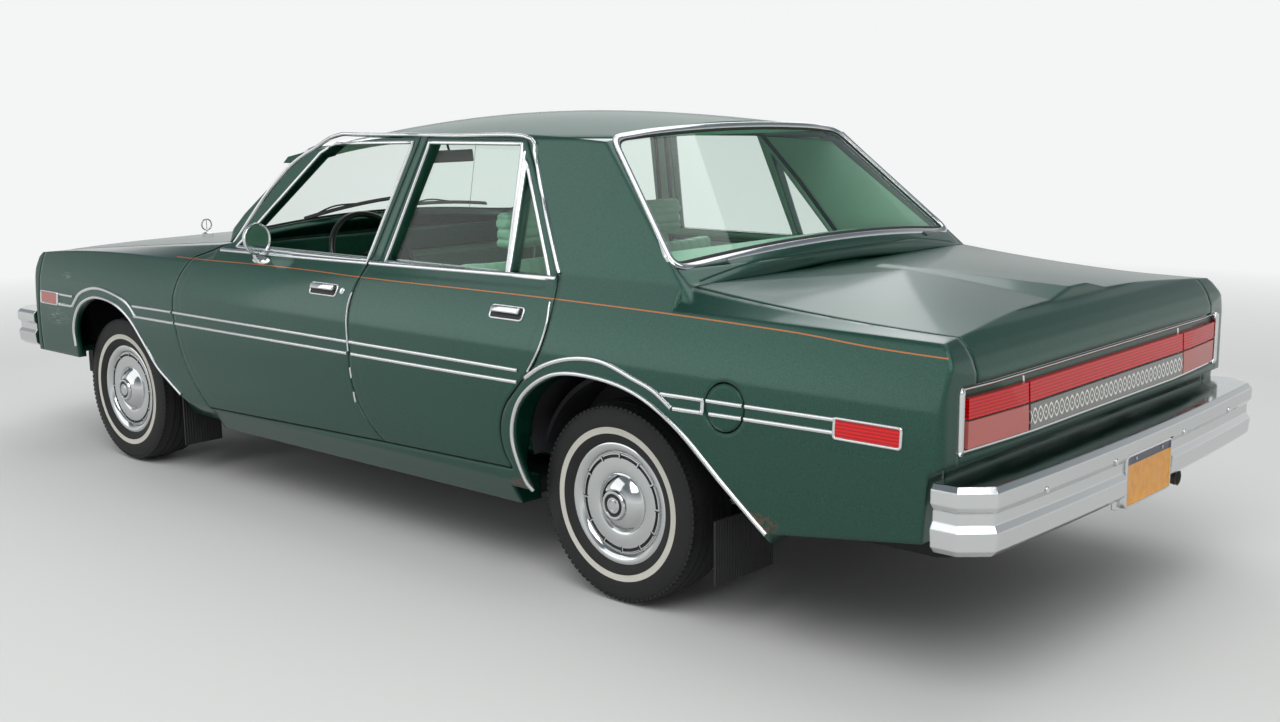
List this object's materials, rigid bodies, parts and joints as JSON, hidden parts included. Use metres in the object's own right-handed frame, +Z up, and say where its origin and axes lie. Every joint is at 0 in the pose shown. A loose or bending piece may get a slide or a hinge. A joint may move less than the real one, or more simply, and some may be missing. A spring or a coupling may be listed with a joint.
{
  "type": "compact four-door sedan",
  "caption": "Four-door compact sedan of the late 1970s with opening doors, hood, trunk lid and fuel door, turning steering and rolling wheels.",
  "frame": {"origin": "on the road under the middle of the car", "axes": "+X forward along the car, +Y to the car's left, +Z up"},
  "size_m": [5.11, 1.8386, 1.4882],
  "materials": {
    "axle_iron": "painted black",
    "chrome": "bright plating",
    "dash_plastic": "grained padded plastic",
    "enamel": "deep metallic green enamel",
    "lamp_glass": "pressed glass",
    "pipe_steel": "dull aluminised steel",
    "red_lens": "moulded acrylic",
    "rubber": "black sheet rubber",
    "tyre_rubber": "black with narrow whitewall",
    "under_paint": "matt black underbody paint",
    "vinyl": "mint green ribbed vinyl",
    "wheel_steel": "pressed steel with bright cover",
    "window_glass": "clear with a faint green tint"
  },
  "bodies": {
    "body": {"roof_panel": "enamel", "body_side_left": "enamel", "body_side_right": "enamel", "floor_pan": "under_paint", "firewall": "enamel", "rear_shelf": "vinyl", "tail_panel": "enamel", "front_fender_left": "enamel", "front_fender_right": "enamel", "engine_bay": "under_paint", "nose_panel": "enamel", "grille": "chrome", "front_lamps": "lamp_glass", "rear_lamps": "red_lens", "front_bumper": "chrome", "rear_bumper": "chrome", "windshield": "window_glass", "rear_window": "window_glass", "dashboard": "dash_plastic", "front_seat": "vinyl", "rear_seat": "vinyl", "front_suspension": "axle_iron", "rear_axle": "axle_iron", "exhaust": "pipe_steel", "fuel_tank": "under_paint", "engine": "axle_iron", "mud_flaps": "rubber"},
    "front_left_door": {"door_front_left": "enamel", "door_mirror": "chrome"},
    "front_right_door": {"door_front_right": "enamel", "glass_front_right": "window_glass"},
    "rear_left_door": {"door_rear_left": "enamel", "glass_rear_left": "window_glass"},
    "rear_right_door": {"door_rear_right": "enamel", "glass_rear_right": "window_glass"},
    "hood": {"hood": "enamel"},
    "trunk_lid": {"trunk_lid": "enamel"},
    "fuel_door": {"fuel_door": "enamel"},
    "steering_wheel": {"steering_wheel": "dash_plastic"},
    "left_knuckle": {"knuckle_left": "axle_iron"},
    "right_knuckle": {"knuckle_right": "axle_iron"},
    "front_left_wheel": {"wheel_front_left": "wheel_steel", "tyre_front_left": "tyre_rubber"},
    "front_right_wheel": {"wheel_front_right": "wheel_steel", "tyre_front_right": "tyre_rubber"},
    "rear_left_wheel": {"wheel_rear_left": "wheel_steel", "tyre_rear_left": "tyre_rubber"},
    "rear_right_wheel": {"wheel_rear_right": "wheel_steel", "tyre_rear_right": "tyre_rubber"}
  },
  "joints": [
    {"name": "front_left_door_hinge", "type": "hinge", "parent": "body", "child": "front_left_door", "pos_m": [1.103, 0.918, 0.65], "axis": [0, 0, -1], "range_deg": [0, 65]},
    {"name": "rear_left_door_hinge", "type": "hinge", "parent": "body", "child": "rear_left_door", "pos_m": [-0.033, 0.918, 0.65], "axis": [0, 0, -1], "range_deg": [0, 60]},
    {"name": "front_right_door_hinge", "type": "hinge", "parent": "body", "child": "front_right_door", "pos_m": [1.103, -0.918, 0.65], "axis": [0, 0, 1], "range_deg": [0, 65]},
    {"name": "rear_right_door_hinge", "type": "hinge", "parent": "body", "child": "rear_right_door", "pos_m": [-0.033, -0.918, 0.65], "axis": [0, 0, 1], "range_deg": [0, 60]},
    {"name": "hood_hinge", "type": "hinge", "parent": "body", "child": "hood", "pos_m": [0.972, 0, 1.005], "axis": [0, -1, 0], "range_deg": [0, 50]},
    {"name": "trunk_hinge", "type": "hinge", "parent": "body", "child": "trunk_lid", "pos_m": [-1.509, 0, 1.014], "axis": [0, 1, 0], "range_deg": [0, 75]},
    {"name": "fuel_door_hinge", "type": "hinge", "parent": "body", "child": "fuel_door", "pos_m": [-1.662, 0.918, 0.693], "axis": [0, 0, -1], "range_deg": [0, 100]},
    {"name": "steer_left", "type": "hinge", "parent": "body", "child": "left_knuckle", "pos_m": [1.618, 0.69, 0.314], "axis": [0, 0, 1], "range_deg": [-30, 30]},
    {"name": "steer_right", "type": "hinge", "parent": "body", "child": "right_knuckle", "pos_m": [1.618, -0.69, 0.314], "axis": [0, 0, 1], "range_deg": [-30, 30]},
    {"name": "steering_wheel_turn", "type": "hinge", "parent": "body", "child": "steering_wheel", "pos_m": [0.495, 0.37, 0.915], "axis": [-0.9063, 0, 0.4226], "range_deg": [-500, 500]},
    {"name": "front_left_wheel_spin", "type": "hinge", "parent": "left_knuckle", "child": "front_left_wheel", "pos_m": [1.618, 0.762, 0.314], "axis": [0, 1, 0], "continuous": true},
    {"name": "rear_left_wheel_spin", "type": "hinge", "parent": "body", "child": "rear_left_wheel", "pos_m": [-1.245, 0.74, 0.314], "axis": [0, 1, 0], "continuous": true},
    {"name": "front_right_wheel_spin", "type": "hinge", "parent": "right_knuckle", "child": "front_right_wheel", "pos_m": [1.618, -0.762, 0.314], "axis": [0, 1, 0], "continuous": true},
    {"name": "rear_right_wheel_spin", "type": "hinge", "parent": "body", "child": "rear_right_wheel", "pos_m": [-1.245, -0.74, 0.314], "axis": [0, 1, 0], "continuous": true}
  ],
  "couplings": [
    {"joint": "steer_right", "follows": "steer_left", "ratio": 1},
    {"joint": "steering_wheel_turn", "follows": "steer_left", "ratio": 16}
  ]
}
